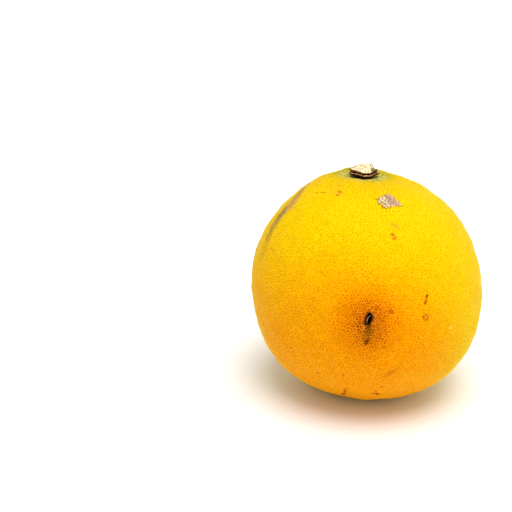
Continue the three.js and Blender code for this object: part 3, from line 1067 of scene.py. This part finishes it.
# %% Wound colours
WOUND_STAINS = [  # what, place, half sizes, turn, ragged, edge, laid through what, colour, strength
    ("glow", (3.0, 8.0), (17, 18), 0, 0.2, 0.9, "dots first", shade(240, 128, 4), 0.4),
    ("halo", (0.5, 4.5), (8.5, 7.5), 0, 0.2, 0.8, "dots first", shade(198, 82, 2), 0.8),
    ("stain", (1.8, 5.5), (4.6, 3.8), 0, 0.5, 0.8, "everything", shade(176, 84, 8), 0.3),
    ("browned glands", (1.4, 3.0), (6.0, 4.4), 0, 0.7, 0.8, "dots", shade(112, 42, 2), 0.85),
    # The pale ridges are partly a painted highlight between the browned glands.
    ("pale ridges", (1.4, 3.0), (6.0, 4.4), 0, 0.7, 0.8, "ridges", shade(238, 176, 76), 0.38),
    ("trail", (1.2, 1.3), (3.4, 1.0), 4, 1.2, 0.6, "grains", shade(92, 78, 8), 0.85),
    ("foot of the trail", (1.0, -4.4), (1.1, 0.65), 20, 1.4, 0.5, "everything", shade(84, 34, 6), 0.75),
    ("rim of the pit", (1.3, 7), (2.47, 1.42), 13, 0.5, 0.22, "everything", shade(74, 44, 14), 0.7),
]
# The pit's near black is dried wound tissue, deepened as painted shade in the hole.
PIT_BROWN_AND_SHADE = shade(26, 8, 4)
TORN_BROWN = shade(116, 40, 16)


def wound_colours(tree, colour, position, wobble, fine, dot, ridge):
    """The stains in turn, each where its ellipse and what it is laid through overlap. Then the pit's dark
    colours, partly painted shade, and its pale crescent, partly a painted highlight."""
    through = {
        "everything": 1.0,
        "dots first": ramp(tree, dot, 0.0, 1.0, 0.6, 1.0),
        "dots": dot,
        "ridges": ridge,
        "grains": ramp(tree, fine, 0.42, 0.56, 0.25, 1.0),
    }
    for _, place, half_sizes, turn, ragged, edge, laid_through, paint, strength in WOUND_STAINS:
        stain = mark_on_skin(tree, position, wobble, place, *half_sizes, turn, ragged, edge)["Mask"]
        colour = lay(tree, colour, maths(tree, "MULTIPLY", stain, through[laid_through]), paint, strength)
    colour = lay(tree, colour, attribute(tree, "pit"), PIT_BROWN_AND_SHADE)
    colour = lay(tree, colour, attribute(tree, "torn_left"), TORN_BROWN, 0.8)
    # The crescent's pale grey is dead skin, partly a painted highlight on its lit wall.
    pale = mix(tree, ramp(tree, fine, 0.4, 0.6), shade(128, 104, 92), shade(206, 188, 172))
    return lay(tree, colour, ramp(tree, attribute(tree, "crescent"), 0.3, 0.75), pale)


print(len(WOUND_STAINS), "stains round the wound")

# %% [markdown]
# ## The crust's colours
#
# Dead skin is a pinkish grey, cream where its flakes lift, and dark in the cracks. The mesh already holds
# how much of each there is at a point, so here they only get their colours, broken up by fine noise.

# %% Crust colours
CRUST_GREY, CRUST_PINK = shade(168, 146, 130), shade(208, 164, 128)
CRUST_BORDER, FLAKE_CREAM = shade(104, 64, 4), shade(240, 226, 168)
CRUST_POCKS, CRACK_GREY = shade(104, 82, 50), shade(96, 86, 88)


def crust_colours(tree, colour, wobble, fine):
    """A dotted border, then grey and pink, then cream on the flakes, brown pocks and dark cracks."""
    crust = attribute(tree, "crust")
    dotted = maths(tree, "MULTIPLY", attribute(tree, "crust_rim"), ramp(tree, fine, 0.38, 0.52, 0.3, 1.0))
    colour = lay(tree, colour, dotted, CRUST_BORDER, 0.85)
    colour = lay(tree, colour, crust, mix(tree, ramp(tree, wobble, 0.4, 0.6), CRUST_GREY, CRUST_PINK))
    flake = ramp(tree, attribute(tree, "flake"), 0.2, 0.7)
    flake = maths(tree, "MULTIPLY", flake, ramp(tree, fine, 0.36, 0.46, 0.35, 1))
    colour = lay(tree, colour, flake, FLAKE_CREAM, 0.9)
    pocked = maths(tree, "MULTIPLY", crust, ramp(tree, fine, 0.6, 0.68))
    colour = lay(tree, colour, pocked, CRUST_POCKS, 0.7)
    return lay(tree, colour, attribute(tree, "crack"), CRACK_GREY, 0.8)


print("crust grey and pink as light:", np.round([CRUST_GREY, CRUST_PINK], 2).tolist())

# %% [markdown]
# ## The finish of the rind
#
# The skin is waxy, not glossy, so it is fairly rough and reflects little. What it does reflect is tinted
# yellow, since the wax is thin. A little light passes under it, which softens the dents. The scars are
# dry and quite matt. Here all the colours come together in one material.

# %% Rind material
GLAND_ON_YELLOW = (0.74, 0.71, 0.42, 1)
GLAND_ON_ORANGE = (0.82, 0.6, 0.34, 1)
RIND_SETTINGS = {
    "IOR": 1.4,
    "Specular IOR Level": 0.12,
    "Specular Tint": (1, 0.8, 0.03, 1),
    "Subsurface Weight": 0.08,
    "Subsurface Radius": (1.0, 0.45, 0.1),
    "Subsurface Scale": 0.8 * MM,
}


def rind_colours(tree, position, wobble, fine, patches):
    """The ground, the stem end and the streak, then the glands' dots, and then what lies on top of them."""
    mottle = noise(tree, position, 1.5, 2.0)
    broken = ramp(tree, fine, 0.36, 0.52, 0.45, 1.0)
    dent = attribute(tree, "gland")
    dot = ramp(tree, dent, 0.12, 0.66)
    # Ridges between the glands, where paler colours are laid, partly as a painted highlight.
    ridge = maths(tree, "MULTIPLY", ramp(tree, dent, 0.24, 0.04), ramp(tree, mottle, 0.4, 0.6, 0.1, 1.0))
    outward = outward_way(tree, position)
    ripe = ripeness(tree, position, outward, patches, mottle)
    colour = ground_colours(tree, outward, ripe, ridge, patches)
    colour = stem_end_colours(tree, colour, outward, wobble, fine, patches)
    colour = streak_colours(tree, colour, position, wobble, fine, broken)
    colour = lay(tree, colour, dot, mix(tree, ripe, GLAND_ON_YELLOW, GLAND_ON_ORANGE), 1.0, "MULTIPLY")
    colour = mark_colours(tree, colour, position, wobble, broken)
    colour = wound_colours(tree, colour, position, wobble, fine, dot, ridge)
    return crust_colours(tree, colour, wobble, fine)


def rind_material():
    """Builds the rind's material."""
    material, tree, surface = new_material("rind")
    position = tree.nodes.new("ShaderNodeTexCoord").outputs["Object"]
    wobble = noise(tree, position, 0.9, 3.0)
    fine = noise(tree, position, 0.35, 2.0)
    patches = noise(tree, position, 9, 3.0)
    tree.links.new(rind_colours(tree, position, wobble, fine, patches), surface.inputs["Base Color"])
    scarred = maths(tree, "MAXIMUM", attribute(tree, "crust"), attribute(tree, "pit"))
    waxy = ramp(tree, patches, 0.2, 0.8, 0.42, 0.54)
    roughness = maths(tree, "ADD*", waxy, maths(tree, "MULTIPLY", scarred, 0.35))
    tree.links.new(roughness, surface.inputs["Roughness"])
    for name, value in RIND_SETTINGS.items():
        surface.inputs[name].default_value = value
    height = maths(tree, "ADD", maths(tree, "MULTIPLY", fine, 0.5), maths(tree, "MULTIPLY", wobble, 0.5))
    add_bump(tree, surface, height, 0.5, 0.12)
    return material


rind.data.materials.append(rind_material())
print("rind material has", len(rind.data.materials[0].node_tree.nodes), "nodes")

# %% [markdown]
# ## The calyx's colours
#
# The calyx is almost black underneath: partly rot, where damp and shade on the tree got at it, and partly
# painted shade, since the underside faces the rind. Its curled edge has dried to a light brown. The mesh
# keeps how far out a point is and whether it is on top, which is all that this needs.

# %% Calyx material
DRY_ROUGHNESS = {"calyx": 0.85, "stem wood": 0.9}


def dry_material(name):
    """A matt material, and the fibre group placed in it."""
    material, tree, surface = new_material(name)
    position = tree.nodes.new("ShaderNodeTexCoord").outputs["Object"]
    fibre = use_group(tree, DRY_FIBRE, {"Position": position, "Fineness": 1.0})
    surface.inputs["Roughness"].default_value = DRY_ROUGHNESS[name]
    surface.inputs["Specular IOR Level"].default_value = 0.25
    add_bump(tree, surface, fibre["Height"], 0.6, 0.15)
    return material, tree, surface, position, fibre


def calyx_material():
    """Dark, partly painted shade, with a light brown edge on top."""
    material, tree, surface, _, fibre = dry_material("calyx")
    brown = mix(tree, ramp(tree, fibre["Light"], 0.35, 0.65), shade(140, 92, 54), shade(228, 172, 118))
    # Near black wherever the rim isn't on top: dark rot, deepened as painted shade.
    dark = mix(tree, ramp(tree, fibre["Stain"], 0.35, 0.65), shade(26, 14, 8), shade(70, 44, 24))
    far_out = ramp(tree, attribute(tree, "share"), 0.86, 0.97)
    on_top = ramp(tree, attribute(tree, "top"), 0.2, 0.8)
    colour = lay(tree, dark, far_out, brown, on_top)
    tree.links.new(colour, surface.inputs["Base Color"])
    return material


calyx.data.materials.append(calyx_material())
print("calyx material has", len(calyx.data.materials[0].node_tree.nodes), "nodes")

# %% [markdown]
# ## The wood's colours
#
# Torn wood is cream, with brown lines between its fibres and small dark pores. The foot's edge is brown on
# the left, and on the right a shred of bark is left. How far a point is up the stub, from its underside to
# the middle of the torn end, is kept on the mesh, and says where the edge and the pith are.

# %% Stem wood material
WOOD_DARK, WOOD_LIGHT, WOOD_STAIN = shade(228, 208, 156), shade(253, 244, 212), shade(206, 178, 108)
PITH_BROWN, PORE_BROWN, GROOVE_BROWN = shade(84, 62, 30), shade(104, 72, 34), shade(178, 140, 80)
BARK_RIGHT, BARK_LEFT, UNDERSIDE_BROWN_AND_SHADE = shade(104, 80, 30), shade(140, 88, 50), shade(92, 56, 26)
PORES = {"Spacing": 0.8 * MM, "Size": 0.4, "Share": 0.4}


def way_to_right(tree, position):
    """Millimetres to the right of the stem's axis."""
    right = STEM_TURN[:, 0]
    along = {0: position, 1: right.tolist()}
    metres = add_node(tree, "ShaderNodeVectorMath", along, operation="DOT_PRODUCT").outputs["Value"]
    return maths(tree, "SUBTRACT", maths(tree, "DIVIDE", metres, MM), float(CORE @ right))


def stub_material():
    """Cream wood, then its stains, pith, grooves and pores, then bark on either side, and brown below,
    partly painted shade.
    """
    material, tree, surface, position, fibre = dry_material("stem wood")
    way, right = attribute(tree, "way"), way_to_right(tree, position)
    colour = mix(tree, ramp(tree, fibre["Light"], 0.3, 0.7), WOOD_DARK, WOOD_LIGHT)
    colour = mix(tree, ramp(tree, fibre["Stain"], 0.6, 0.74, 0.0, 0.5), colour, WOOD_STAIN)
    colour = lay(tree, colour, ramp(tree, way, 0.955, 0.975), PITH_BROWN, 0.85)
    colour = lay(tree, colour, ramp(tree, fibre["Light"], 0.47, 0.37), GROOVE_BROWN, 0.6)
    pores = use_group(tree, SPARSE_SPECKS, {"Position": position, **PORES})["Mask"]
    pores = maths(tree, "MULTIPLY", pores, ramp(tree, right, -1.0, 2.0, 0.25, 1))
    colour = lay(tree, colour, pores, PORE_BROWN, 0.85)
    bark = maths(tree, "MULTIPLY", ramp(tree, right, 1.8, 3.0), ramp(tree, fibre["Stain"], 0.42, 0.5))
    colour = lay(tree, colour, bark, BARK_RIGHT, 0.9)
    bark = maths(tree, "MULTIPLY", ramp(tree, right, -0.5, -2.8), ramp(tree, way, 0.46, 0.38))
    colour = lay(tree, colour, bark, BARK_LEFT, 0.85)
    # Brown on the foot's underside and lower edge, partly painted shade under the foot.
    colour = lay(tree, colour, ramp(tree, way, 0.34, 0.24), UNDERSIDE_BROWN_AND_SHADE, 0.8)
    tree.links.new(colour, surface.inputs["Base Color"])
    return material


stub.data.materials.append(stub_material())
print("stem wood material has", len(stub.data.materials[0].node_tree.nodes), "nodes")

# %% [markdown]
# ## The floor
#
# The fruit lies on a white table. A single large square is enough, far wider than the view, so that no edge
# of it shows. It is bright enough to turn to plain white, except where the fruit keeps the light off it.

# %% Floor
FLOOR_HALF = 6.0  # metres
FLOOR_WHITE = (0.92, 0.92, 0.92, 1)

floor_mesh = bpy.data.meshes.new("floor")
corners = [(x * FLOOR_HALF, y * FLOOR_HALF, 0) for x, y in ((-1, -1), (1, -1), (1, 1), (-1, 1))]
floor_mesh.from_pydata(corners, [], [(0, 1, 2, 3)])
floor = bpy.data.objects.new("floor", floor_mesh)
bpy.context.scene.collection.objects.link(floor)

floor_material, _, floor_surface = new_material("white table")
floor_surface.inputs["Base Color"].default_value = FLOOR_WHITE
floor_surface.inputs["Roughness"].default_value = 0.6
floor_surface.inputs["Specular IOR Level"].default_value = 0.2
floor_mesh.materials.append(floor_material)
print("floor is", 2 * FLOOR_HALF, "m wide")

# %% [markdown]
# ## The light
#
# Soft light shows the form and hides nothing. A pale sky all round, a little brighter on the right, fills
# the shadows. A lamp high in front gives the shadow its direction. It is as wide as a large softbox, since
# the angle that a lamp fills is what softens the shadow's edge.

# %% Light
WORLD_LEFT, WORLD_RIGHT = 0.49, 0.65
LAMP_FROM = (0.1, -0.24, 0.9)
LAMP_STRENGTH = 1.88
LAMP_ANGLE = 40  # degrees

world = bpy.data.worlds.new("pale sky")
world.use_nodes = True
bpy.context.scene.world = world
sky = world.node_tree
sky.nodes.clear()
sky_way = add_node(sky, "ShaderNodeTexCoord", {}).outputs["Generated"]
sideways = add_node(sky, "ShaderNodeSeparateXYZ", {0: sky_way}).outputs[0]
strength = ramp(sky, sideways, -1.0, 1.0, WORLD_LEFT, WORLD_RIGHT)
background = add_node(sky, "ShaderNodeBackground", {"Color": (1, 1, 1, 1), "Strength": strength})
add_node(sky, "ShaderNodeOutputWorld", {"Surface": background.outputs[0]})

lamp_data = bpy.data.lights.new("lamp", "SUN")
lamp_data.angle = math.radians(LAMP_ANGLE)
lamp_data.energy = LAMP_STRENGTH
lamp = bpy.data.objects.new("lamp", lamp_data)
lamp.rotation_mode = "QUATERNION"
lamp.rotation_quaternion = Vector(LAMP_FROM).to_track_quat("Z", "Y")
bpy.context.scene.collection.objects.link(lamp)
bpy.context.scene.view_settings.view_transform = "Standard"
bpy.context.scene.view_settings.look = "Medium High Contrast"
print("sky from", WORLD_LEFT, "to", WORLD_RIGHT, "and lamp", LAMP_STRENGTH)
